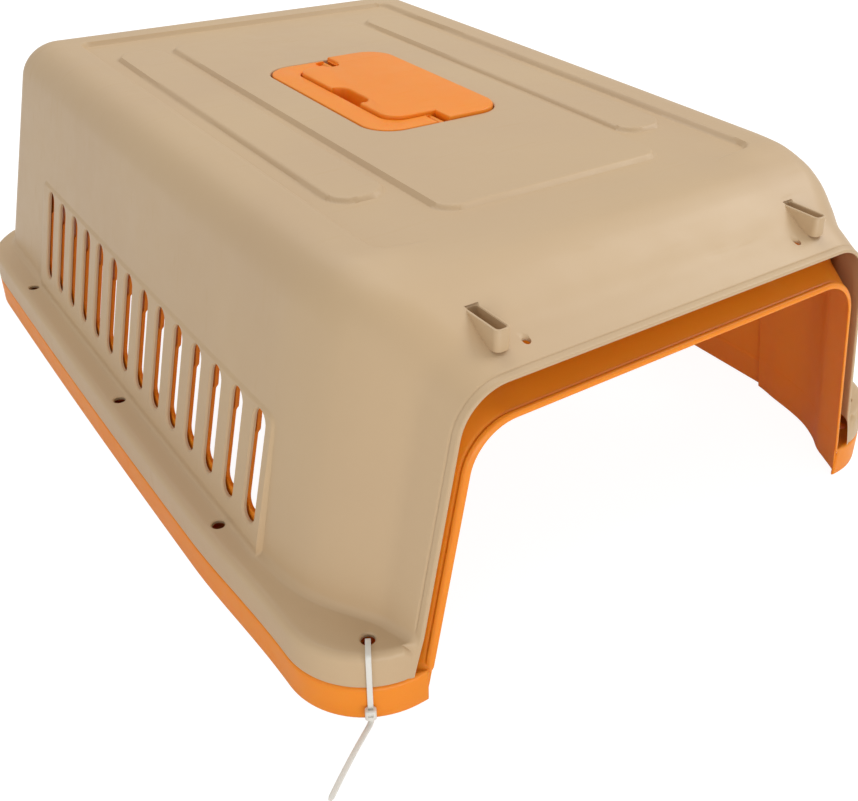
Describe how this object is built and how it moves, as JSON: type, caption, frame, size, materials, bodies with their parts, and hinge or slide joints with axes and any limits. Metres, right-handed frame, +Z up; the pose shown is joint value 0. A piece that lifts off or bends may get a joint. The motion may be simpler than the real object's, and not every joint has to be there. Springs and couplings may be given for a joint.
{
  "type": "pet carrier shells",
  "caption": "Two nested half-shells of a plastic pet carrier, vent slots on both sides, open front and underside, tied together, with a fold-flat carry handle.",
  "frame": {"origin": "middle of the footprint, on the surface the carrier stands on", "axes": "+Z up, -Y to the open front, +X to the right seen from the front"},
  "size_m": [0.4298, 0.6005, 0.2018],
  "materials": {
    "upper_plastic": "fine-grained moulded polypropylene, beige",
    "lower_plastic": "fine-grained moulded polypropylene, orange",
    "handle_plastic": "smooth moulded polypropylene, orange",
    "steel": "plain zinc-plated steel",
    "nylon": "natural nylon"
  },
  "bodies": {
    "shells": {"upper_shell": "upper_plastic", "lower_shell": "lower_plastic", "handle_base": "handle_plastic", "handle_pin_1": "steel", "handle_pin_2": "steel", "handle_screw_1": "steel", "handle_screw_2": "steel", "handle_screw_3": "steel", "handle_screw_4": "steel", "cable_tie": "nylon", "cable_tie_tail": "nylon"},
    "handle": {"carry_handle": "handle_plastic"}
  },
  "joints": [
    {"name": "handle_hinge", "type": "hinge", "parent": "shells", "child": "handle", "pos_m": [0, 0, 0.196], "axis": [0, 1, 0], "range_deg": [0, 90]}
  ]
}
